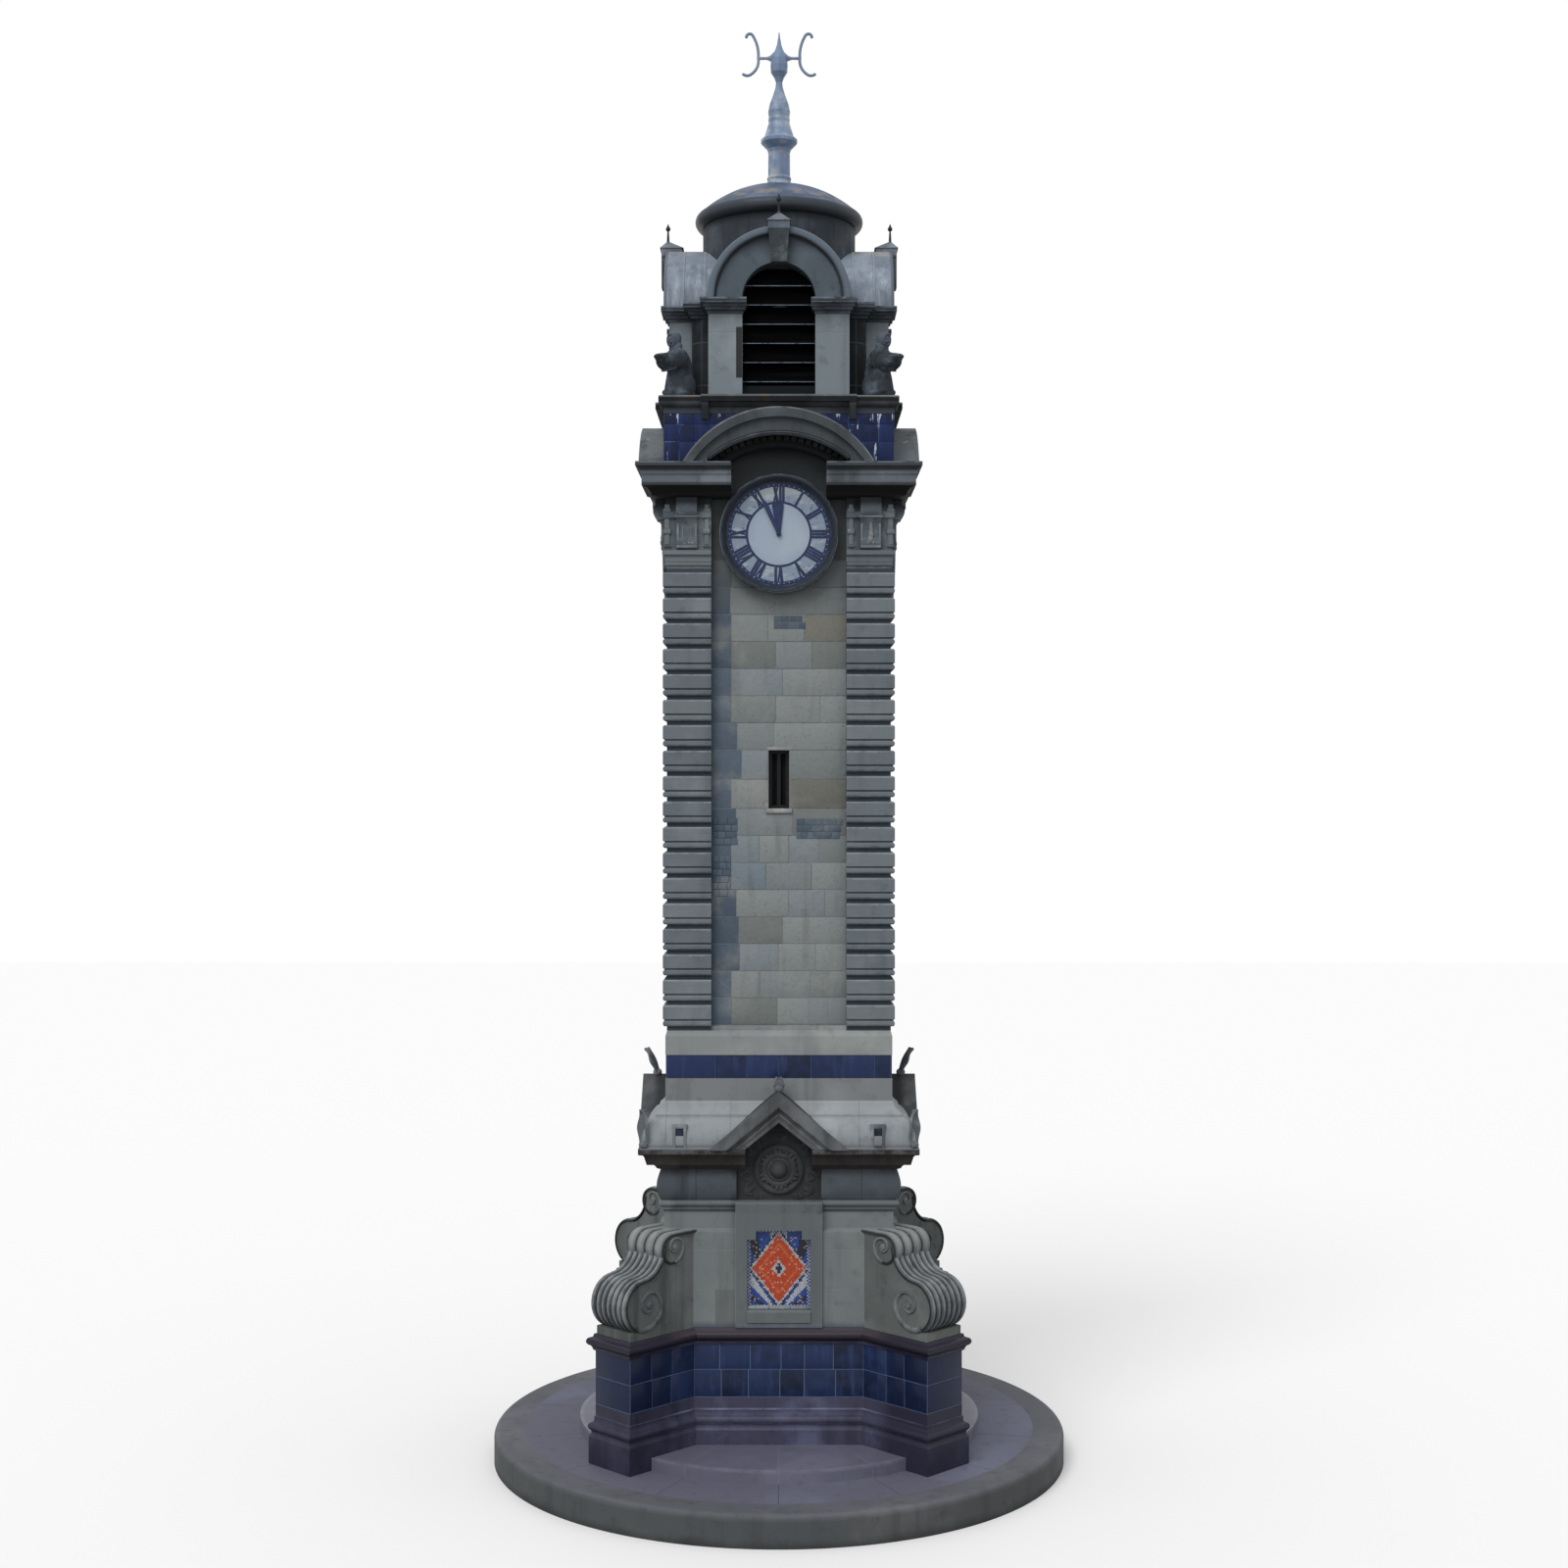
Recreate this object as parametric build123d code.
"""A stone clock tower of about 14.5 m on a round podium, in millimetres.

+Z is up, the front looks along -Y, and the origin is the middle of the podium's underside. The tower has
four like sides, so most pieces are made once for the front and turned about the Z axis in quarter turns. A
name that ends in HALF is half a width, measured from the tower's axis.
"""
import os
from math import sqrt

from build123d import *

# ---------------------------------------------------------------- podium and step
PODIUM_RADIUS = 2880
PODIUM_HEIGHT = 300
KERB_WIDTH = 310
KERB_ROUNDING = 60
STEP_RADIUS = 2020
STEP_HEIGHT = 120

# ---------------------------------------------------------------- base
HOLLOW_HALF = 700  # the tower's inside, all the way up
BASE_HALF = 1170
PEDESTAL_HEIGHT = 1240
PEDESTAL_WIDTH = 500
PEDESTAL_LENGTH = 570  # beyond the core's corner
WING_WIDTH = 486
WING_LENGTH = 560
WING_BLOCK_HEIGHT = 80
LOW_VOLUTE_RADIUS = 235
LOW_VOLUTE_LENGTH = 615
HIGH_VOLUTE_RADIUS = 140
WAIST_RADIUS = 320
PLINTH_OUT = 48
CAP_OUT = 48
DADO_RISE = 570  # from the podium to the tiled dado
CAP_HEIGHT = 158
UPPER_BASE_HEIGHT = 1105
UPPER_BASE_SETBACK = 60
SETBACK_DROP = 155
SURROUND_WIDTH = 840
SURROUND_OUT = 28
PANEL_WIDTH = 614
PANEL_HEIGHT = 766
PANEL_RISE = 173
PANEL_DEPTH = 90
PANEL_THICKNESS = 40
PANEL_SHOULDER = 86  # the square step in each top corner of the picture panel
SILL_HEIGHT = 119
SILL_OUT = 14

# ---------------------------------------------------------------- entablature, gables and roof of the base
ARCHITRAVE_HEIGHT = 118
FRIEZE_HEIGHT = 297
CORNICE_HEIGHT = 225
CORNICE_OUT = 180
FRIEZE_GAP_HALF = 410
CORNICE_GAP_HALF = 322
TYMPANUM_FACE = 1120
GABLE_RISE = 551
GABLE_INNER_RISE = 255
GABLE_HALF = 665
GABLE_FRONT = 1385
GABLE_CROWN_OUT = 60
GABLE_CROWN_DEPTH = 130
BOSS_RADIUS = 235
BOSS_RISE = 302
ROOF_HEIGHT = 435
LEAF_SEAT = 1240
LEAF_BUD = 42
LEAF_THICKNESS = 46
APEX_LEAF = 300
BROKEN_LEAF = 140
CORNER_LEAF = 380

# ---------------------------------------------------------------- shaft
PLINTH_HALF = 1100
PLINTH_HEIGHT = 680
BAND_RISE = 217
BAND_HEIGHT = 226
TILE_RECESS = 12
PIER_HALF = 1124
PIER_WIDTH = 468
PIER_COURSES = 18
COURSE_HEIGHT = 740 / 3
CHANNEL_HEIGHT = 42
CHANNEL_DEPTH = 38
COLLAR_HEIGHT = 215
CAPITAL_HEIGHT = 505
CAPITAL_SETBACK = 26
CONSOLE_OUT = 128
CONSOLE_WIDTH = 200
EAR_WIDTH = 64
EAR_HEIGHT = 60
EAR_DROP = 190
WALL_FACE = 1010
WALL_SILL_HEIGHT = 40
WALL_SILL_OUT = 60
SLIT_WIDTH = 200
SLIT_RISE = 2150
SLIT_HEIGHT = 570
SLIT_SILL_HEIGHT = 44
SLIT_SILL_OUT = 22
SLIT_FRAME = 34
SLIT_FRAME_DEPTH = 40
SLIT_FRAME_FACE = 930

# ---------------------------------------------------------------- clock
DIAL_DROP = 345  # from the capitals' top to the dial's centre
DIAL_RADIUS = 500
DIAL_THICKNESS = 16
DIAL_FACE = 1072
DIAL_LAP = 60  # how far the bezel reaches in behind the dial
BEZEL_WIDTH = 75
BEZEL_FRONT = 1160
ARBOR_RADIUS = 8
ARBOR_OUT = 20  # behind the pipe
PIPE_RADIUS = 14
PIPE_LENGTH = 60  # behind the dial's face
ARBOR_CLEARANCE = 0.5
HOUR_HAND_LENGTH = 300
MINUTE_HAND_LENGTH = 350
HAND_THICKNESS = 6
HAND_GAP = 8
HUB_RADIUS = 24
HOUR = 11
MINUTE = 56

# ---------------------------------------------------------------- cornice, hood and attic over the clock
UPPER_CORNICE_HEIGHT = 320
UPPER_CORNICE_OUT = 252
UPPER_CORNICE_GAP_HALF = 460
HOOD_RISE = 525
HOOD_HALF = 918
HOOD_EDGE = 95
HOOD_EDGE_OUT = 42
HOOD_INNER_RISE = 296
HOOD_INNER_HALF = 684
HOOD_INNER_FOOT = 50
BED_RISE = 170
BED_HALF = 520
BED_FRONT = 1200
ATTIC_HALF = 1120
ATTIC_HEIGHT = 560
ATTIC_BORDER = 40

# ---------------------------------------------------------------- belfry
LEDGE_HALF = 1165
LEDGE_HEIGHT = 110
BAY_LEDGE = 1218
BAY_LEDGE_HALF = 752
BAY_LEDGE_HEIGHT = 62
CORBEL_DROP = 120
CORBEL_WIDTH = 64
BAY_HALF = 685
BAY_FRONT = 1085
BAY_PIER_HEIGHT = 805
OPENING_HALF = 355
CORE_HALF = 860
CORE_INNER = 480
CORE_ROUNDING = 157
IMPOST_HEIGHT = 145
IMPOST_RETURN = 42  # into the opening
IMPOST_LAYERS = [(10, 0.22), (30, 0.2), (52, 0.24), (78, 0.34)]  # offset, share of the height
VAULT_RADIUS = 700
VAULT_THICKNESS = 40
VAULT_REACH = 1110
ROLL_WIDTH = 78
ROLL_FRONT = 1142
ROLL_ROUNDING = 28
KEYSTONE_FRONT = 1195
KEYSTONE_BACK = 985
KEYSTONE_FOOT_HALF = 76
KEYSTONE_HEAD_HALF = 106
KEYSTONE_DROP = 20  # below the opening's crown
KEYSTONE_RISE = 34  # above the vault's crown
KEYSTONE_CAP_HALF = 116
KEYSTONE_CAP_HEIGHT = 84
LOUVRES = 6
LOUVRE_RISE = 158
LOUVRE_PITCH = 187
LOUVRE_THICKNESS = 14
LOUVRE_DEPTH = 230
LOUVRE_SLOPE = 55
LOUVRE_FRONT = 1000
LOUVRE_SILL_HEIGHT = 120
LOUVRE_SILL_THICKNESS = 24

# ---------------------------------------------------------------- seated figures
FIGURE_SEAT = 1380  # from the tower's axis, along the diagonal
FIGURE_HALF_WIDTH = 112
HEAD_FORWARD = 72
HEAD_HEIGHT = 548
HEAD_RADIUS = 80
NECK_RADIUS = 50

# ---------------------------------------------------------------- drum, dome and finial
DRUM_RADIUS = 775
DRUM_THICKNESS = 60
DRUM_RISE = 930  # from the arches' springing to the dome
EAVE_OUT = 78
EAVE_HEIGHT = 150
DOME_RISE = 446
DOME_THICKNESS = 40
FINIAL_SEAT_RADIUS = 138
ARM_RISE = 1318
ARM_REACH = 212
ARM_RADIUS = 15
ARM_FLARE = 58

# ---------------------------------------------------------------- levels, from the podium up
CAP_TOP = PODIUM_HEIGHT + PEDESTAL_HEIGHT
DADO_FOOT = PODIUM_HEIGHT + DADO_RISE
DADO_TOP = CAP_TOP - CAP_HEIGHT
PANEL_FOOT = CAP_TOP + PANEL_RISE
ARCHITRAVE_FOOT = CAP_TOP + UPPER_BASE_HEIGHT
FRIEZE_FOOT = ARCHITRAVE_FOOT + ARCHITRAVE_HEIGHT
CORNICE_FOOT = FRIEZE_FOOT + FRIEZE_HEIGHT
CORNICE_TOP = CORNICE_FOOT + CORNICE_HEIGHT
GABLE_APEX = CORNICE_TOP + GABLE_RISE
GABLE_INNER_APEX = CORNICE_TOP + GABLE_INNER_RISE
ROOF_TOP = CORNICE_TOP + ROOF_HEIGHT
BAND_FOOT = ROOF_TOP + BAND_RISE
BAND_TOP = BAND_FOOT + BAND_HEIGHT
SHAFT_FOOT = ROOF_TOP + PLINTH_HEIGHT
SLIT_FOOT = SHAFT_FOOT + SLIT_RISE
COURSES_TOP = SHAFT_FOOT + PIER_COURSES * COURSE_HEIGHT
COLLAR_TOP = COURSES_TOP + COLLAR_HEIGHT
CAPITAL_TOP = COLLAR_TOP + CAPITAL_HEIGHT
DIAL_HEIGHT = CAPITAL_TOP - DIAL_DROP
WALL_TOP = CAPITAL_TOP + UPPER_CORNICE_HEIGHT
ATTIC_TOP = WALL_TOP + ATTIC_HEIGHT
LEDGE_TOP = ATTIC_TOP + LEDGE_HEIGHT
IMPOST_FOOT = LEDGE_TOP + BAY_PIER_HEIGHT
SPRINGING = IMPOST_FOOT + IMPOST_HEIGHT
DRUM_TOP = SPRINGING + DRUM_RISE
DOME_TOP = DRUM_TOP + DOME_RISE

# ---------------------------------------------------------------- distances that follow others
BASE_CORNER = BASE_HALF * sqrt(2)
BASE_CORNICE_HALF = BASE_HALF + CORNICE_OUT
PIER_INNER = PIER_HALF - PIER_WIDTH
BEZEL_RADIUS = DIAL_RADIUS + BEZEL_WIDTH
DIAL_OPENING = DIAL_RADIUS - DIAL_LAP
HOUR_FRONT = DIAL_FACE + HAND_GAP + HAND_THICKNESS
MINUTE_FRONT = HOUR_FRONT + HAND_GAP + HAND_THICKNESS
ARCH_RADIUS = VAULT_RADIUS - VAULT_THICKNESS
ROLL_INNER = VAULT_RADIUS - ROLL_WIDTH
DRUM_INNER = DRUM_RADIUS - DRUM_THICKNESS
EAVE_RADIUS = DRUM_RADIUS + EAVE_OUT

SIDES = {"front": 0, "right": 90, "back": 180, "left": 270}
FAR = 20000  # past everything, for cuts
JOINT = 0.3  # between a loose stone and its bed, and from a rod to its rounded end

os.makedirs("parts", exist_ok=True)


# ---------------------------------------------------------------- helpers
def turned(shape, angle):
    return Rot(0, 0, angle) * shape


def on_four_sides(shape):
    """The front's shape and its three quarter-turn copies, as one list of solids."""
    return [solid for turn in range(4) for solid in turned(shape, 90 * turn).solids()]


def write(name, shape):
    solids = shape if isinstance(shape, list) else shape.solids()
    export_step(Compound(children=list(solids)), f"parts/{name}.step")


def largest(shape):
    return max(shape.solids(), key=lambda solid: solid.volume)


def block(x, y, z):
    """A box from its x, y and z ranges."""
    middle = [(low + high) / 2 for low, high in (x, y, z)]
    return Pos(*middle) * Box(*[high - low for low, high in (x, y, z)])


def square_block(half, low, high):
    return block((-half, half), (-half, half), (low, high))


def cylinder(radius, low, high):
    return Pos(0, 0, (low + high) / 2) * Cylinder(radius, high - low)


def facing_disc(radius, y_from, y_to, height):
    """A disc whose axis runs along Y."""
    return Pos(0, (y_from + y_to) / 2, height) * Rot(90, 0, 0) * Cylinder(radius, y_to - y_from)


def outline(*points):
    """An XZ face with straight sides through (x, z) points."""
    return make_face(Polyline(*[(x, 0, z) for x, z in points], close=True))


def even_outline(*points):
    """An XZ face through the (x, z) points of its right side and their mirror images."""
    return outline(*points, *[(-x, z) for x, z in reversed(points) if x])


def upright(face, y_from, y_to):
    """A plate with the given XZ face, from one y to another."""
    return extrude(face, amount=y_to - y_from, dir=(0, 1, 0)).moved(Location((0, y_from, 0)))


def arch_shape(crest, half, foot, y_from, y_to):
    """The region under an arc through both feet and the crest, closed by a level line."""
    arc = ThreePointArc((-half, 0, foot), (0, 0, crest), (half, 0, foot))
    return upright(make_face(Wire([arc, Line(arc @ 1, arc @ 0)])), y_from, y_to)


def half_disc(radius, y_from, y_to):
    return arch_shape(SPRINGING + radius, radius, SPRINGING, y_from, y_to)


def even_profile(steps):
    """An XZ face, symmetric about the Z axis, from (half width, z) steps. A third number in a step makes an
    arc that ends there and bulges outwards by that much, or inwards if it is negative."""
    edges = []
    for side in (1, -1):
        here = steps[0]
        for step in steps[1:]:
            start = Vector(side * here[0], 0, here[1])
            end = Vector(side * step[0], 0, step[1])
            if len(step) == 3:
                along = (end - start).normalized()
                outwards = Vector(side * abs(along.Z), 0, -side * along.X)
                edges.append(ThreePointArc(start, (start + end) / 2 + outwards * step[2], end))
            else:
                edges.append(Line(start, end))
            here = step
    for half, level in (steps[0][:2], steps[-1][:2]):
        edges.append(Line((-half, 0, level), (half, 0, level)))
    return make_face(Wire(edges))


def square_course(steps):
    """A solid of square plan whose four sides all have this moulding, with mitred corners."""
    length = 2 * max(step[0] for step in steps)
    along = upright(even_profile(steps), -length, length)
    return along & turned(along, 90)


def moved_out(steps, amount):
    return [(step[0] + amount, *step[1:]) for step in steps]


# ---------------------------------------------------------------- podium and step
def podium_kerb():
    outer = cylinder(PODIUM_RADIUS, 0, PODIUM_HEIGHT)
    outer = fillet(outer.edges().sort_by(Axis.Z)[-1], KERB_ROUNDING)
    return outer - cylinder(PODIUM_RADIUS - KERB_WIDTH, 0, PODIUM_HEIGHT)


def podium_paving():
    return cylinder(PODIUM_RADIUS - KERB_WIDTH, 0, PODIUM_HEIGHT)


# The moulding of the pedestals and the walls between them, as offsets from the tile face
BASE_MOULDING = [
    (PLINTH_OUT, PODIUM_HEIGHT),
    (PLINTH_OUT, DADO_FOOT - 310),
    (30, DADO_FOOT - 264, -6),
    (34, DADO_FOOT - 252),
    (34, DADO_FOOT - 180, 20),
    (16, DADO_FOOT - 170),
    (10, DADO_FOOT - 118, -4),
    (0, DADO_FOOT - 112),
    (0, DADO_TOP),
    (14, DADO_TOP),
    (22, DADO_TOP + 20),
    (CAP_OUT, DADO_TOP + 50, -6),
    (CAP_OUT, CAP_TOP - 40, 18),
    (18, CAP_TOP - 28),
    (10, CAP_TOP),
]


def pedestal():
    """The diagonal pedestal between the right and the back, built along +X."""
    reach = BASE_CORNER + PEDESTAL_LENGTH
    across = upright(even_profile(moved_out(BASE_MOULDING, PEDESTAL_WIDTH / 2)), 0, 2 * reach)
    along = upright(even_profile(moved_out(BASE_MOULDING, reach)), -PEDESTAL_WIDTH, PEDESTAL_WIDTH)
    outer_half = block((0, FAR), (-FAR, FAR), (0, FAR))
    return turned(turned(across, -90) & along & outer_half, 45) - square_block(HOLLOW_HALF, 0, CAP_TOP)


def round_step(pedestals):
    """The low step round the base: one segment between each two pedestals."""
    disc = cylinder(STEP_RADIUS, PODIUM_HEIGHT, PODIUM_HEIGHT + STEP_HEIGHT)
    disc -= square_block(BASE_HALF + PLINTH_OUT, PODIUM_HEIGHT, PODIUM_HEIGHT + STEP_HEIGHT)
    for shape in pedestals:
        disc -= shape
    return disc.solids().sort_by(lambda solid: solid.volume)[-4:]


# ---------------------------------------------------------------- base walls
def panel_outline():
    """The picture panel: a rectangle with a square step in each top corner."""
    half, top = PANEL_WIDTH / 2, PANEL_FOOT + PANEL_HEIGHT
    return even_outline((half, PANEL_FOOT), (half, top - PANEL_SHOULDER),
                        (half - PANEL_SHOULDER, top - PANEL_SHOULDER), (half - PANEL_SHOULDER, top))


def base_wall(pedestals):
    """The front wall, from the podium to the architrave, with the recess and sill of its picture panel."""
    lower = turned(upright(even_profile(moved_out(BASE_MOULDING, BASE_HALF)), -BASE_HALF, BASE_HALF), 90)
    lower &= block((-BASE_HALF, BASE_HALF), (-FAR, -HOLLOW_HALF), (PODIUM_HEIGHT, CAP_TOP))
    for shape in pedestals:
        lower -= shape

    setback_top, upper_half = ARCHITRAVE_FOOT - SETBACK_DROP, BASE_HALF - UPPER_BASE_SETBACK
    upper = square_course([(BASE_HALF, CAP_TOP), (BASE_HALF, setback_top - 30), (upper_half, setback_top),
                           (upper_half, ARCHITRAVE_FOOT)])
    quarter = extrude(make_face(Polyline((0, 0, 0), (-FAR, -FAR, 0), (FAR, -FAR, 0), close=True)), FAR)
    upper = (upper - square_block(HOLLOW_HALF, CAP_TOP, ARCHITRAVE_FOOT)) & quarter

    face, half = BASE_HALF + SURROUND_OUT, SURROUND_WIDTH / 2
    surround = block((-half, half), (-face, -HOLLOW_HALF), (CAP_TOP, ARCHITRAVE_FOOT))
    recess = upright(panel_outline(), -FAR, -BASE_HALF + PANEL_DEPTH)
    sill_side = outline((face, PANEL_FOOT - SILL_HEIGHT), (face + SILL_OUT, PANEL_FOOT - SILL_HEIGHT),
                        (face + SILL_OUT, PANEL_FOOT - 20), (face, PANEL_FOOT))
    sill = turned(upright(sill_side, -PANEL_WIDTH / 2, PANEL_WIDTH / 2), -90)
    return largest(lower) + (upper + surround - recess) + sill


def picture_panel():
    back = -BASE_HALF + PANEL_DEPTH
    return upright(panel_outline(), back - PANEL_THICKNESS, back)


def scroll_wing():
    """The stone wing between the right and the back: a small volute above a large one, built along +X."""
    block_end, block_top = BASE_CORNER + WING_LENGTH, CAP_TOP + WING_BLOCK_HEIGHT
    low_x = BASE_CORNER + LOW_VOLUTE_LENGTH - LOW_VOLUTE_RADIUS
    low_z = block_top + LOW_VOLUTE_RADIUS - 10
    low_top = low_z + LOW_VOLUTE_RADIUS
    high_x = BASE_CORNER + 25
    high_z = ARCHITRAVE_FOOT - SETBACK_DROP - HIGH_VOLUTE_RADIUS - 15
    high_top = high_z + HIGH_VOLUTE_RADIUS
    inner, half = BASE_CORNER - 300, WING_WIDTH / 2

    side = outline((inner, CAP_TOP), (block_end, CAP_TOP), (block_end, block_top), (low_x, block_top),
                   (low_x, low_top + WAIST_RADIUS), (high_x, high_top), (inner, high_top))
    shape = upright(side, -half, half)
    shape -= Pos(low_x + 40, 0, 0) * facing_disc(WAIST_RADIUS, -FAR, FAR, low_top + WAIST_RADIUS - 24)
    shape -= block((low_x, FAR), (-FAR, FAR), (low_top, FAR))
    shape += Pos(low_x, 0, 0) * facing_disc(LOW_VOLUTE_RADIUS, -half, half, low_z)
    shape += Pos(high_x, 0, 0) * facing_disc(HIGH_VOLUTE_RADIUS, -half, half, high_z)
    return turned(shape, 45) - square_block(BASE_HALF, CAP_TOP, ARCHITRAVE_FOOT)


# ---------------------------------------------------------------- entablature, gables and roof of the base
def architrave_course():
    """A moulded course, plain and a little forward where it crosses the picture panel's surround."""
    course = square_course(moved_out([
        (-UPPER_BASE_SETBACK, ARCHITRAVE_FOOT), (-35, ARCHITRAVE_FOOT + 30, -6), (-35, ARCHITRAVE_FOOT + 60),
        (-10, ARCHITRAVE_FOOT + 84, 8), (-10, FRIEZE_FOOT - 12), (-30, FRIEZE_FOOT)], BASE_HALF))
    half, face = SURROUND_WIDTH / 2, BASE_HALF + SURROUND_OUT
    for turn in range(4):
        moulded = block((-half, half), (-FAR, -HOLLOW_HALF), (ARCHITRAVE_FOOT, FRIEZE_FOOT))
        plain = block((-half, half), (-face, -HOLLOW_HALF), (ARCHITRAVE_FOOT, FRIEZE_FOOT))
        course = course - turned(moulded, 90 * turn) + turned(plain, 90 * turn)
    return course - square_block(HOLLOW_HALF, ARCHITRAVE_FOOT, FRIEZE_FOOT)


def entablature_corners():
    """Frieze and cornice. Both break off at the middle of each side, which leaves four corner pieces."""
    frieze = square_course(moved_out([
        (-35, FRIEZE_FOOT), (-20, FRIEZE_FOOT + 24), (-20, CORNICE_FOOT - 24, 30),
        (-35, CORNICE_FOOT)], BASE_HALF))
    cornice = square_course(moved_out([
        (-35, CORNICE_FOOT), (10, CORNICE_FOOT + 20), (80, CORNICE_FOOT + 66, -14),
        (100, CORNICE_FOOT + 66), (120, CORNICE_FOOT + 130), (CORNICE_OUT - 10, CORNICE_FOOT + 170, -14),
        (CORNICE_OUT, CORNICE_FOOT + 180), (CORNICE_OUT, CORNICE_TOP)], BASE_HALF))
    for turn in (0, 90):
        frieze -= turned(block((-FRIEZE_GAP_HALF, FRIEZE_GAP_HALF), (-FAR, FAR), (0, FAR)), turn)
        cornice -= turned(block((-CORNICE_GAP_HALF, CORNICE_GAP_HALF), (-FAR, FAR), (0, FAR)), turn)
    return frieze + cornice - square_block(HOLLOW_HALF, FRIEZE_FOOT, CORNICE_TOP)


def gable_strip(inner_half, inner_apex, y_from):
    """Two raking strips, from the gable's outer line down to an inner one."""
    outer = even_outline((GABLE_HALF, CORNICE_TOP), (0, GABLE_APEX))
    inner = even_outline((inner_half, CORNICE_TOP), (0, inner_apex))
    return upright(outer - inner, y_from, -PLINTH_HALF)


def base_pediment():
    """The front gable: a tympanum wall with a round boss, under two raking cornices."""
    tympanum = even_outline((FRIEZE_GAP_HALF, FRIEZE_FOOT), (FRIEZE_GAP_HALF, CORNICE_FOOT),
                            (CORNICE_GAP_HALF, CORNICE_FOOT), (CORNICE_GAP_HALF, CORNICE_TOP),
                            (0, GABLE_INNER_APEX + 20))
    rake = gable_strip(CORNICE_GAP_HALF, GABLE_INNER_APEX, -GABLE_FRONT + GABLE_CROWN_OUT)
    crown_half = GABLE_HALF * (1 - GABLE_CROWN_DEPTH / GABLE_RISE)
    crown = gable_strip(crown_half, GABLE_APEX - GABLE_CROWN_DEPTH, -GABLE_FRONT)
    boss_z = FRIEZE_FOOT + BOSS_RISE
    boss = facing_disc(BOSS_RADIUS, -TYMPANUM_FACE - 30, -TYMPANUM_FACE, boss_z)
    boss += facing_disc(0.7 * BOSS_RADIUS, -TYMPANUM_FACE - 52, -TYMPANUM_FACE, boss_z)
    boss += Pos(0, -TYMPANUM_FACE - 30, boss_z) * Sphere(0.4 * BOSS_RADIUS)
    boss &= block((-FAR, FAR), (-FAR, -TYMPANUM_FACE + 20), (FRIEZE_FOOT, FAR))
    return upright(tympanum, -TYMPANUM_FACE, -HOLLOW_HALF) + boss + rake + crown


def base_roof(gables):
    """The stone roof over the cornice: a swelling slope and a short cove up to the shaft's plinth."""
    edge, shoulder = BASE_CORNICE_HALF - 10, PLINTH_HALF + 90
    roof = square_course([
        (edge, CORNICE_TOP), (edge - 30, CORNICE_TOP + 20), (shoulder + 35, ROOF_TOP - 160, 38),
        (shoulder, ROOF_TOP - 145), (shoulder, ROOF_TOP - 120), (PLINTH_HALF + 12, ROOF_TOP - 20, -12),
        (PLINTH_HALF, ROOF_TOP)])
    roof -= square_block(HOLLOW_HALF, CORNICE_TOP, ROOF_TOP)
    gable_front = upright(even_outline((GABLE_HALF, CORNICE_TOP), (0, GABLE_APEX)), -FAR, -TYMPANUM_FACE)
    for turn, shape in enumerate(gables):
        roof -= turned(gable_front, 90 * turn)
        roof -= shape
    return roof


def leaf(width, height, lean):
    """A carved leaf on a round bud, which stands at the origin and leans outwards along -Y."""
    left = ThreePointArc((0, 0, height), (-width / 2, 0, 0.42 * height), (0, 0, 0))
    right = ThreePointArc((0, 0, 0), (width / 2, 0, 0.42 * height), (0, 0, height))
    blade = upright(make_face(Wire([right, left])), -LEAF_THICKNESS / 2, LEAF_THICKNESS / 2)
    return Rot(lean, 0, 0) * blade + Pos(0, 0, 0.3 * LEAF_BUD) * Sphere(LEAF_BUD)


def pediment_leaves(gable, roof):
    """A leaf on the apex of each gable, broken off short at the front, and one up each corner of the roof."""
    seat = Pos(0, -LEAF_SEAT, GABLE_APEX)
    whole = seat * leaf(120, APEX_LEAF, 24) - gable
    broken = seat * leaf(84, BROKEN_LEAF, 8) - gable
    apexes = [broken, *(turned(whole, 90 * turn) for turn in (1, 2, 3))]
    corner_seat = Pos(0, -(BASE_CORNICE_HALF - 48) * sqrt(2), CORNICE_TOP + 18)
    corner = turned(corner_seat * leaf(130, CORNER_LEAF, -9), 45) - roof
    corner &= block((0, FAR), (-FAR, 0), (CORNICE_TOP + JOINT, FAR))
    return [solid for shape in apexes for solid in shape.solids()] + on_four_sides(largest(corner))


def shaft_plinth():
    return square_course([
        (PLINTH_HALF, ROOF_TOP), (PLINTH_HALF, BAND_FOOT), (PLINTH_HALF - TILE_RECESS, BAND_FOOT),
        (PLINTH_HALF - TILE_RECESS, BAND_TOP), (PLINTH_HALF, BAND_TOP), (PLINTH_HALF, SHAFT_FOOT - 55),
        (PLINTH_HALF - 16, SHAFT_FOOT)]) - square_block(HOLLOW_HALF, ROOF_TOP, SHAFT_FOOT)


# ---------------------------------------------------------------- shaft
def corner_pier():
    """The front right pier, banded with rusticated courses, and its collar."""
    deep = PIER_HALF - CHANNEL_DEPTH
    steps = [(deep, SHAFT_FOOT)]
    for course in range(PIER_COURSES):
        foot = SHAFT_FOOT + course * COURSE_HEIGHT
        low, split, high = foot + CHANNEL_HEIGHT, foot + 0.42 * COURSE_HEIGHT, foot + COURSE_HEIGHT
        steps += [(deep, low), (PIER_HALF - 16, low), (PIER_HALF - 16, split - 8, 16),
                  (PIER_HALF - 18, split), (PIER_HALF, split + 10), (PIER_HALF, high - 14),
                  (PIER_HALF - 14, high), (deep, high)]
    steps += [(deep, COURSES_TOP + 60), (PIER_HALF - 20, COURSES_TOP + 70), (PIER_HALF - 20, COLLAR_TOP - 60),
              (PIER_HALF + 6, COLLAR_TOP - 42), (PIER_HALF + 6, COLLAR_TOP)]
    return square_course(steps) & block((PIER_INNER, FAR), (-FAR, -PIER_INNER), (SHAFT_FOOT, COLLAR_TOP))


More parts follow.
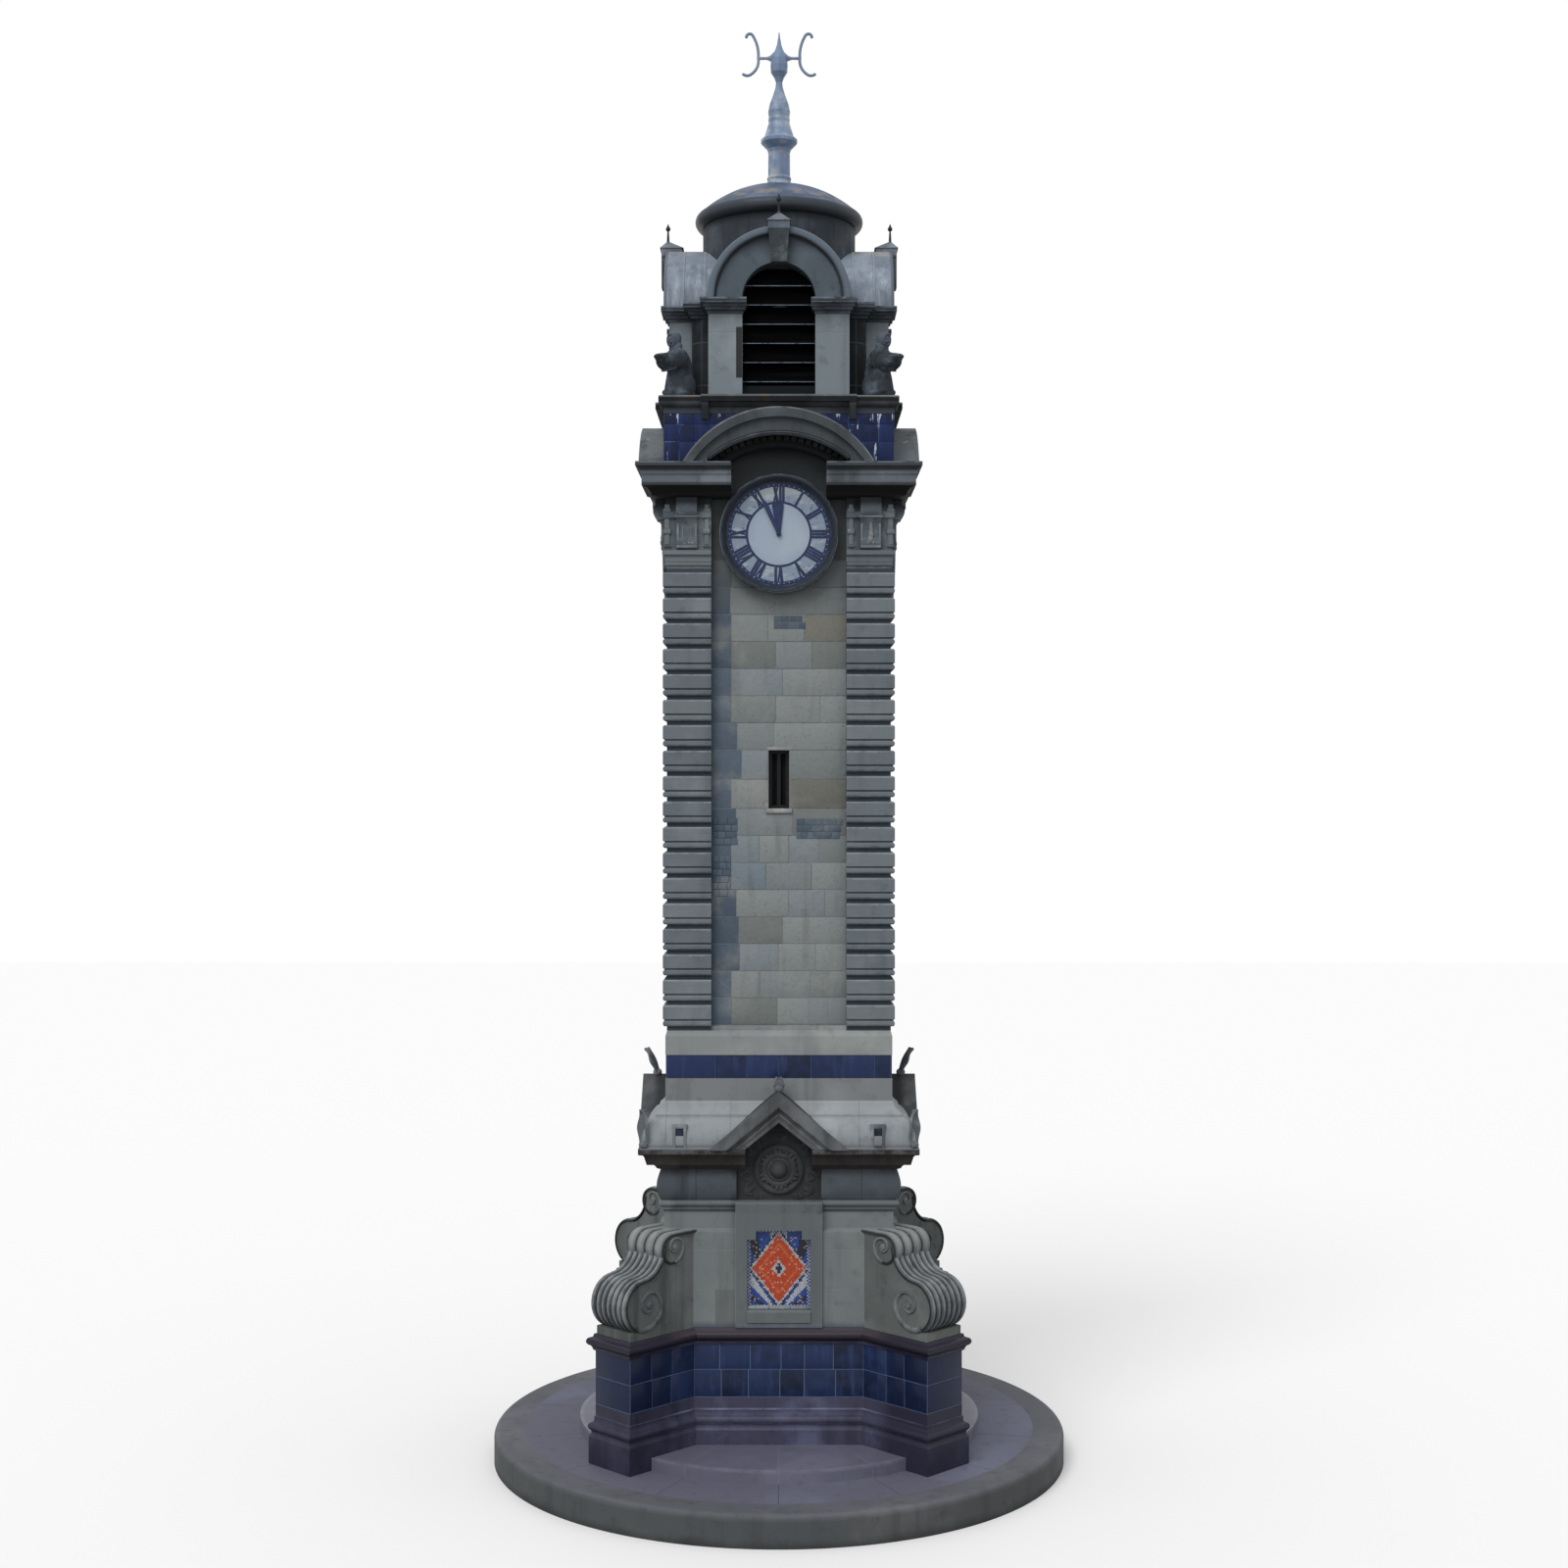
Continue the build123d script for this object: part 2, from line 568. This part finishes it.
def shaft_wall():
    """The front wall between two piers, with its slit window and the round opening behind the dial."""
    half, slit_half = PIER_INNER, SLIT_WIDTH / 2
    sill_face, sill_top = -WALL_FACE - WALL_SILL_OUT, SHAFT_FOOT + WALL_SILL_HEIGHT
    slit_sill_half, slit_sill_face = slit_half + SLIT_SILL_OUT, -WALL_FACE - SLIT_SILL_OUT
    wall = block((-half, half), (-WALL_FACE, -HOLLOW_HALF), (SHAFT_FOOT, WALL_TOP))
    wall += block((-half, half), (sill_face, -HOLLOW_HALF), (SHAFT_FOOT, sill_top))
    wall += block((-slit_sill_half, slit_sill_half), (slit_sill_face, -HOLLOW_HALF),
                  (SLIT_FOOT - SLIT_SILL_HEIGHT, SLIT_FOOT))
    wall -= block((-slit_half, slit_half), (-FAR, 0), (SLIT_FOOT, SLIT_FOOT + SLIT_HEIGHT))
    return wall - facing_disc(DIAL_OPENING, -FAR, 0, DIAL_HEIGHT)


def slit_grille():
    """The dark iron casement in a slit: a frame with one upright in the middle."""
    half, top = SLIT_WIDTH / 2, SLIT_FOOT + SLIT_HEIGHT
    frame = block((-half, half), (-SLIT_FRAME_FACE, -SLIT_FRAME_FACE + SLIT_FRAME_DEPTH), (SLIT_FOOT, top))
    for light in ((-half + SLIT_FRAME, -SLIT_FRAME / 2), (SLIT_FRAME / 2, half - SLIT_FRAME)):
        frame -= block(light, (-FAR, 0), (SLIT_FOOT + SLIT_FRAME, top - SLIT_FRAME))
    return frame


def capital():
    """The front right pier's capital: a block with a scrolled console on each outer face and small ears."""
    face = PIER_HALF - CAPITAL_SETBACK
    core = block((PIER_INNER, face), (-face, -PIER_INNER), (COLLAR_TOP, CAPITAL_TOP))
    foot, knee, head = COLLAR_TOP + 16, CAPITAL_TOP - EAR_DROP, CAPITAL_TOP - 50
    console = make_face(Wire([
        Line((face - 30, 0, foot), (face + 30, 0, foot)),
        ThreePointArc((face + 30, 0, foot), (face + 52, 0, foot + 50), (face + 36, 0, foot + 105)),
        ThreePointArc((face + 36, 0, foot + 105), (face + 44, 0, knee - 70), (face + 80, 0, knee)),
        ThreePointArc((face + 80, 0, knee), (face + CONSOLE_OUT, 0, knee + 66), (face + 104, 0, head)),
        Line((face + 104, 0, head), (face + 104, 0, CAPITAL_TOP)),
        Line((face + 104, 0, CAPITAL_TOP), (face - 30, 0, CAPITAL_TOP)),
        Line((face - 30, 0, CAPITAL_TOP), (face - 30, 0, foot))]))
    low, high = (PIER_INNER + PIER_HALF - CONSOLE_WIDTH) / 2, (PIER_INNER + PIER_HALF + CONSOLE_WIDTH) / 2
    core += upright(console, -high, -low) + turned(upright(console, low, high), -90)
    for low, high in ((PIER_INNER, PIER_INNER + EAR_WIDTH), (PIER_HALF - EAR_WIDTH, PIER_HALF)):
        core += block((low, high), (-PIER_HALF, -PIER_INNER), (knee, knee + EAR_HEIGHT))
        core += block((PIER_INNER, PIER_HALF), (-high, -low), (knee, knee + EAR_HEIGHT))
    return core


# ---------------------------------------------------------------- clock
def clock_bezel():
    """A turned ring on the front wall: a roll at the rim and a cove that falls to the dial."""
    crest, dial_back = BEZEL_FRONT - 22, DIAL_FACE - DIAL_THICKNESS
    rim, lip = (BEZEL_RADIUS, 0, crest), (BEZEL_RADIUS - 36, 0, crest)
    section = make_face(Wire([
        Line((DIAL_OPENING, 0, WALL_FACE), (BEZEL_RADIUS - 10, 0, WALL_FACE)),
        Line((BEZEL_RADIUS - 10, 0, WALL_FACE), (BEZEL_RADIUS, 0, WALL_FACE + 30)),
        Line((BEZEL_RADIUS, 0, WALL_FACE + 30), rim),
        ThreePointArc(rim, (BEZEL_RADIUS - 18, 0, BEZEL_FRONT), lip),
        ThreePointArc(lip, (DIAL_RADIUS + 20, 0, DIAL_FACE + 34), (DIAL_RADIUS, 0, DIAL_FACE)),
        Line((DIAL_RADIUS, 0, DIAL_FACE), (DIAL_RADIUS, 0, dial_back)),
        Line((DIAL_RADIUS, 0, dial_back), (DIAL_OPENING, 0, dial_back)),
        Line((DIAL_OPENING, 0, dial_back), (DIAL_OPENING, 0, WALL_FACE))]))
    return Pos(0, 0, DIAL_HEIGHT) * Rot(90, 0, 0) * revolve(section, Axis.Z)


def clock_dial():
    disc = facing_disc(DIAL_RADIUS, -DIAL_FACE, -DIAL_FACE + DIAL_THICKNESS, DIAL_HEIGHT)
    return disc - facing_disc(PIPE_RADIUS + ARBOR_CLEARANCE, -FAR, 0, DIAL_HEIGHT)


def hand(points, turn, front):
    """A flat hand on the front dial, turned clockwise from twelve, whose front face lies at y = -front."""
    plate = upright(even_outline(*points), -front, -front + HAND_THICKNESS)
    plate += facing_disc(HUB_RADIUS, -front, -front + HAND_THICKNESS, 0)
    return Pos(0, 0, DIAL_HEIGHT) * Rot(0, turn, 0) * plate


def hour_hand():
    """A wedge that widens outwards, on a pipe through the dial."""
    length = HOUR_HAND_LENGTH
    plate = hand([(16, 0), (58, 0.93 * length), (50, length)], 30 * (HOUR + MINUTE / 60), HOUR_FRONT)
    pipe = facing_disc(PIPE_RADIUS, -HOUR_FRONT, -DIAL_FACE + PIPE_LENGTH, DIAL_HEIGHT)
    return plate + pipe - facing_disc(ARBOR_RADIUS + ARBOR_CLEARANCE, -FAR, 0, DIAL_HEIGHT)


def minute_hand():
    """A slim pointer on an arbor inside the hour hand's pipe."""
    length = MINUTE_HAND_LENGTH
    plate = hand([(14, 0), (24, 0.84 * length), (8, length)], 6 * MINUTE, MINUTE_FRONT)
    arbor_back = -DIAL_FACE + PIPE_LENGTH + ARBOR_OUT
    return plate + facing_disc(ARBOR_RADIUS, -MINUTE_FRONT - 6, arbor_back, DIAL_HEIGHT)


# ---------------------------------------------------------------- cornice, hood and attic over the clock
def upper_cornice():
    """Four corner pieces: the cornice breaks off beside each dial."""
    course = square_course(moved_out([
        (26, CAPITAL_TOP), (104, CAPITAL_TOP + 12), (166, CAPITAL_TOP + 92, -14), (194, CAPITAL_TOP + 100),
        (194, WALL_TOP - 130), (206, WALL_TOP - 110), (UPPER_CORNICE_OUT - 14, WALL_TOP - 46, -8),
        (UPPER_CORNICE_OUT, WALL_TOP - 40), (UPPER_CORNICE_OUT, WALL_TOP)], PIER_HALF))
    course -= square_block(HOLLOW_HALF, CAPITAL_TOP, WALL_TOP)
    gap = block((-UPPER_CORNICE_GAP_HALF, UPPER_CORNICE_GAP_HALF), (-FAR, FAR), (0, FAR))
    walls = block((-PIER_INNER, PIER_INNER), (-WALL_FACE, WALL_FACE), (0, FAR))
    for turn in (0, 90):
        course -= turned(gap + walls, turn)
    return course


def hood_recess(y_from, y_to):
    """The space under the hood's outer arch: an arch on short upright sides."""
    foot = WALL_TOP + HOOD_INNER_FOOT
    sides = block((-HOOD_INNER_HALF, HOOD_INNER_HALF), (y_from, y_to), (WALL_TOP, foot))
    return sides + arch_shape(WALL_TOP + HOOD_INNER_RISE, HOOD_INNER_HALF, foot, y_from, y_to)


def clock_hood():
    """The front dial's hood: an arch that projects as far as the cornice, and a bed moulding under it."""
    front = PIER_HALF + UPPER_CORNICE_OUT
    crest = WALL_TOP + HOOD_RISE
    outer = arch_shape(crest, HOOD_HALF, WALL_TOP, -front, -ATTIC_HALF) - hood_recess(-FAR, 0)
    outer -= arch_shape(crest - HOOD_EDGE, HOOD_HALF - HOOD_EDGE, WALL_TOP, -FAR, -front + HOOD_EDGE_OUT)
    bed = hood_recess(-BED_FRONT, -WALL_FACE) - arch_shape(WALL_TOP + BED_RISE, BED_HALF, WALL_TOP, -FAR, 0)
    return outer + bed


def attic_wall():
    """The wall behind the hoods, set back for tiles between a border below and one above."""
    face = ATTIC_HALF - TILE_RECESS
    low, high = WALL_TOP + ATTIC_BORDER, ATTIC_TOP - 1.5 * ATTIC_BORDER
    wall = square_course([(ATTIC_HALF, WALL_TOP), (ATTIC_HALF, low), (face, low), (face, high),
                          (ATTIC_HALF, high), (ATTIC_HALF, ATTIC_TOP)])
    wall -= square_block(HOLLOW_HALF, WALL_TOP, ATTIC_TOP)
    for turn in range(4):
        wall -= turned(hood_recess(-FAR, -WALL_FACE), 90 * turn)
    return wall


# ---------------------------------------------------------------- belfry
def belfry_floor():
    """The belfry's stone floor, which steps out under each arched bay on two small corbels."""
    floor = square_course([(LEDGE_HALF - 30, ATTIC_TOP), (LEDGE_HALF, ATTIC_TOP + 40, 8),
                           (LEDGE_HALF, LEDGE_TOP - 10), (LEDGE_HALF - 10, LEDGE_TOP)])
    foot, out = LEDGE_TOP - BAY_LEDGE_HEIGHT, BAY_LEDGE - 14
    side = outline((ATTIC_HALF, ATTIC_TOP - CORBEL_DROP), (ATTIC_HALF + 30, ATTIC_TOP - CORBEL_DROP),
                   (out, foot - 40), (out, foot), (ATTIC_HALF, foot))
    corbel = turned(upright(side, -CORBEL_WIDTH / 2, CORBEL_WIDTH / 2), -90)
    ledge = block((-BAY_LEDGE_HALF, BAY_LEDGE_HALF), (-BAY_LEDGE, -LEDGE_HALF + 40), (foot, LEDGE_TOP))
    for end in (-1, 1):
        ledge += Pos(end * (BAY_LEDGE_HALF - CORBEL_WIDTH / 2 - 6), 0, 0) * corbel
    for turn in range(4):
        floor += turned(ledge, 90 * turn)
    return floor


def belfry_piers():
    pier = block((OPENING_HALF, BAY_HALF), (-BAY_FRONT, -CORE_HALF), (LEDGE_TOP, IMPOST_FOOT))
    return pier + mirror(pier, Plane.YZ)


def corner_block():
    """The masonry behind the front right corner, between two bays, with its outer edge rounded."""
    shape = block((CORE_INNER, CORE_HALF), (-CORE_HALF, -CORE_INNER), (LEDGE_TOP, IMPOST_FOOT))
    edge = shape.edges().filter_by(Axis.Z).sort_by(lambda e: e.center().X - e.center().Y)[-1]
    return fillet(edge, min(CORE_ROUNDING, 0.9 * (CORE_HALF - BAY_HALF)))


def impost():
    """The front right impost: the moulded course that carries the arches round a corner of the belfry."""
    bay_x, bay_y = (OPENING_HALF + BAY_HALF) / 2, (CORE_HALF + BAY_FRONT) / 2
    bay_size = (BAY_HALF - OPENING_HALF, BAY_FRONT - CORE_HALF)
    plan = Pos(bay_x, -bay_y) * Rectangle(*bay_size) + Pos(bay_y, -bay_x) * Rectangle(*reversed(bay_size))
    core = (CORE_INNER + CORE_HALF) / 2
    plan += Pos(core, -core) * Rectangle(CORE_HALF - CORE_INNER, CORE_HALF - CORE_INNER)
    layers, foot = [], IMPOST_FOOT
    for out, share in IMPOST_LAYERS:
        layer = Pos(0, 0, foot) * offset(plan, out, kind=Kind.INTERSECTION)
        layers.append(extrude(layer, share * IMPOST_HEIGHT))
        foot += share * IMPOST_HEIGHT
    course = layers[0] + layers[1:]
    jamb, louvre_face = OPENING_HALF - IMPOST_RETURN, -LOUVRE_FRONT - LOUVRE_THICKNESS
    opening = block((-OPENING_HALF, OPENING_HALF), (louvre_face, 0), (IMPOST_FOOT, SPRINGING))
    opening += block((-jamb, jamb), (-FAR, 0), (IMPOST_FOOT, SPRINGING))
    for turn in range(4):
        course -= turned(opening, 90 * turn)
    return course


def belfry_arch():
    """The front arch: a stone ring with a roll moulding round its face."""
    inside = half_disc(ROLL_INNER, -FAR, 0)
    roll = half_disc(VAULT_RADIUS, -ROLL_FRONT, -VAULT_REACH) - inside
    front = roll.edges().filter_by_position(Axis.Y, -ROLL_FRONT - 1, -ROLL_FRONT + 1)
    rim = front.filter_by(GeomType.CIRCLE)
    roll = fillet(rim, min(ROLL_ROUNDING, 0.36 * ROLL_WIDTH, 0.9 * (ROLL_FRONT - VAULT_REACH)))
    roll += half_disc(ARCH_RADIUS, -VAULT_REACH, -BAY_FRONT) - inside
    return half_disc(ARCH_RADIUS, -BAY_FRONT, -CORE_HALF) + roll - half_disc(OPENING_HALF, -FAR, 0)


def keystone(arch):
    """A tapered stone over the front arch with a small hipped cap and a budded spike."""
    low, high = SPRINGING + OPENING_HALF - KEYSTONE_DROP, SPRINGING + VAULT_RADIUS + KEYSTONE_RISE
    foot, head = KEYSTONE_FOOT_HALF, KEYSTONE_HEAD_HALF
    stone = upright(even_outline((foot, low), (head, high)), -KEYSTONE_FRONT, -BAY_FRONT)
    stone += block((-head, head), (-KEYSTONE_FRONT, -KEYSTONE_BACK), (SPRINGING + VAULT_RADIUS - 60, high))
    stone -= arch
    stone -= half_disc(VAULT_RADIUS, -VAULT_REACH, 0) - half_disc(ARCH_RADIUS, -FAR, 0)
    centre, depth = -(KEYSTONE_FRONT + KEYSTONE_BACK) / 2, KEYSTONE_FRONT - KEYSTONE_BACK
    tip = Pos(0, centre - 0.2 * depth, high + KEYSTONE_CAP_HEIGHT)
    eaves = Pos(0, centre, high) * Rectangle(2 * KEYSTONE_CAP_HALF, depth + 30)
    cap = loft([eaves, tip * Rectangle(24, 24)])
    spike = Pos(0, 0, 55) * Cone(15, 8, 130) + Pos(0, 0, 132) * Sphere(24) + Pos(0, 0, 164) * Cone(18, 2, 44)
    return stone + cap + tip * spike


def louvre_blades():
    """The sloping boards in the front opening, cut to its arched outline, over an upright board."""
    window = half_disc(OPENING_HALF, -BAY_FRONT, -CORE_HALF)
    window += block((-OPENING_HALF, OPENING_HALF), (-BAY_FRONT, -CORE_HALF), (LEDGE_TOP, SPRINGING))
    pieces = [block((-OPENING_HALF, OPENING_HALF), (-LOUVRE_FRONT, -LOUVRE_FRONT + LOUVRE_SILL_THICKNESS),
                    (LEDGE_TOP, LEDGE_TOP + LOUVRE_SILL_HEIGHT))]
    board = Rot(LOUVRE_SLOPE, 0, 0) * Pos(0, LOUVRE_DEPTH / 2, 0) * Box(FAR, LOUVRE_DEPTH, LOUVRE_THICKNESS)
    for number in range(LOUVRES):
        height = LEDGE_TOP + LOUVRE_RISE + number * LOUVRE_PITCH
        pieces += (Pos(0, -LOUVRE_FRONT, height) * board & window).solids()
    return Compound(children=pieces)


# ---------------------------------------------------------------- roofs, drum, dome and finial
def crossing_tunnels(radius, reach):
    tunnel = half_disc(radius, -reach, reach)
    return tunnel + turned(tunnel, 90)


def barrel_roofs():
    """Two crossing barrel roofs of lead on boards, as one shell, with their ends behind the arches."""
    return crossing_tunnels(VAULT_RADIUS, VAULT_REACH) - crossing_tunnels(ARCH_RADIUS, FAR)


def drum():
    ring = cylinder(DRUM_RADIUS, SPRINGING, DRUM_TOP) - cylinder(DRUM_INNER, SPRINGING, DRUM_TOP)
    return ring - crossing_tunnels(VAULT_RADIUS, VAULT_REACH)


def dome():
    """A shallow lead dome with a thick rounded eave, hollow inside."""
    foot, eave_top, under = DRUM_RADIUS + 22, DRUM_TOP + EAVE_HEIGHT, DOME_TOP - DOME_THICKNESS
    lip, seat, shoulder = EAVE_RADIUS - 50, FINIAL_SEAT_RADIUS, eave_top - 10
    middle, sag = (lip + seat) / 2, 0.29 * (DOME_TOP - eave_top)
    section = make_face(Wire([
        Line((DRUM_INNER, 0, DRUM_TOP), (foot, 0, DRUM_TOP)),
        ThreePointArc((foot, 0, DRUM_TOP), (EAVE_RADIUS, 0, DRUM_TOP + 80), (lip, 0, eave_top)),
        ThreePointArc((lip, 0, eave_top), (middle, 0, DOME_TOP - sag), (seat, 0, DOME_TOP)),
        Line((seat, 0, DOME_TOP), (0, 0, DOME_TOP)),
        Line((0, 0, DOME_TOP), (0, 0, under)),
        Line((0, 0, under), (seat, 0, under)),
        ThreePointArc((seat, 0, under), (middle - 15, 0, under - sag), (DRUM_INNER, 0, shoulder)),
        Line((DRUM_INNER, 0, shoulder), (DRUM_INNER, 0, DRUM_TOP))]))
    return revolve(section, Axis.Z)


# The finial's turned outline, as radius and height over the dome
FINIAL_PROFILE = [
    (FINIAL_SEAT_RADIUS, 0), (118, 60), (124, 84), (112, 110), (110, 345), (122, 385), (184, 450), (186, 480),
    (150, 515), (125, 595), (106, 655), (110, 690), (105, 712), (112, 770), (96, 850), (64, 934), (38, 1019),
    (32, 1070), (50, 1120), (84, 1172), (88, 1240), (82, 1310), (62, 1365), (38, 1410), (23, 1455), (12, 1520),
    (5, 1581),
]


def bent_rod(start, *arcs):
    """A round rod along arcs in the XZ plane, each given by its middle and its end, with rounded ends."""
    knuckle = Sphere(ARM_RADIUS + JOINT)
    rod, here = Pos(start) * knuckle, start
    for middle, end in arcs:
        path = ThreePointArc(here, middle, end)
        rod += sweep(Plane(origin=path @ 0, z_dir=path % 0) * Circle(ARM_RADIUS), path)
        rod += Pos(end) * knuckle
        here = end
    return rod


def finial():
    """The lead-grey finial: a baluster with a spike, and a pair of curled iron arms out of its head."""
    points = [(radius, 0, DOME_TOP + rise) for radius, rise in FINIAL_PROFILE]
    body = revolve(make_face(Polyline((0, 0, DOME_TOP), *points, (0, 0, points[-1][2]), close=True)), Axis.Z)
    z = DOME_TOP + ARM_RISE
    edges = [Line((-ARM_REACH, 0, z), (ARM_REACH, 0, z))]
    edges.append(Line((-60, 0, z + ARM_FLARE), (60, 0, z + ARM_FLARE)))
    for side in (-1, 1):
        end, rim = (side * ARM_REACH, 0, z), (side * ARM_REACH, 0, z + ARM_RADIUS)
        neck, root = (side * 160, 0, z + ARM_RADIUS), (side * 60, 0, z + ARM_FLARE)
        edges += [Line(end, rim), Line(rim, neck), ThreePointArc(neck, (side * 100, 0, z + 24), root)]
    arms = revolve(make_face(Wire(edges)), Axis((0, 0, z), (1, 0, 0)))
    tip = (ARM_REACH, 0, z)
    hooks = bent_rod(tip, ((224, 0, z + 130), (268, 0, z + 232)), ((303, 0, z + 250), (334, 0, z + 218)))
    hooks += bent_rod(tip, ((228, 0, z - 98), (282, 0, z - 160)), ((322, 0, z - 176), (364, 0, z - 164)))
    return body + arms + hooks + mirror(hooks, Plane.YZ)


# ---------------------------------------------------------------- seated figures
def seated_figure():
    """A draped, hooded figure that sits with its back to the front right corner of the belfry."""
    side = outline((-140, 0), (135, 0), (142, 110), (118, 235), (200, 285), (245, 330), (235, 375), (130, 400),
                   (90, 470), (-10, 478), (-60, 380), (-100, 200))
    figure = upright(side, -FIGURE_HALF_WIDTH, FIGURE_HALF_WIDTH)
    figure += Pos(HEAD_FORWARD - 14, 0, HEAD_HEIGHT - 72) * Cylinder(NECK_RADIUS, 80)
    figure += Pos(HEAD_FORWARD, 0, HEAD_HEIGHT) * Sphere(HEAD_RADIUS)
    return turned(Pos(FIGURE_SEAT, 0, LEDGE_TOP) * figure, -45)


# ---------------------------------------------------------------- build
def build_base():
    write("podium_kerb", podium_kerb())
    write("podium_paving", podium_paving())
    pedestals = on_four_sides(pedestal())
    write("corner_pedestals", pedestals)
    write("round_step", round_step(pedestals))
    wall = base_wall(pedestals)
    for side, angle in SIDES.items():
        write(f"base_wall_{side}", turned(wall, angle))
    write("picture_panels", on_four_sides(picture_panel()))
    write("scroll_wings", on_four_sides(scroll_wing()))
    write("architrave_course", architrave_course())
    write("entablature_corners", entablature_corners())
    gable = base_pediment()
    gables = on_four_sides(gable)
    write("base_pediments", gables)
    roof = base_roof(gables)
    write("base_roof", roof)
    write("pediment_leaves", pediment_leaves(gable, roof))


def build_shaft():
    write("shaft_plinth", shaft_plinth())
    write("corner_piers", on_four_sides(corner_pier()))
    write("capitals", on_four_sides(capital()))
    write("slit_grilles", on_four_sides(slit_grille()))
    write("clock_bezels", on_four_sides(clock_bezel()))
    write("clock_dials", on_four_sides(clock_dial()))
    for side, angle in SIDES.items():
        write(f"shaft_wall_{side}", turned(shaft_wall(), angle))
        write(f"hour_hand_{side}", turned(hour_hand(), angle))
        write(f"minute_hand_{side}", turned(minute_hand(), angle))
    write("upper_cornice", upper_cornice())
    write("clock_hoods", on_four_sides(clock_hood()))
    write("attic_wall", attic_wall())


def build_belfry():
    write("belfry_floor", belfry_floor())
    write("belfry_piers", on_four_sides(belfry_piers()))
    write("belfry_corner_blocks", on_four_sides(corner_block()))
    write("impost_course", on_four_sides(impost()))
    arch = belfry_arch()
    write("belfry_arches", on_four_sides(arch))
    write("keystones", on_four_sides(keystone(arch)))
    write("louvres", on_four_sides(louvre_blades()))
    write("seated_figures", on_four_sides(seated_figure()))
    write("barrel_roofs", barrel_roofs())
    write("drum", drum())
    write("dome", dome())
    write("finial", finial())


build_base()
build_shaft()
build_belfry()
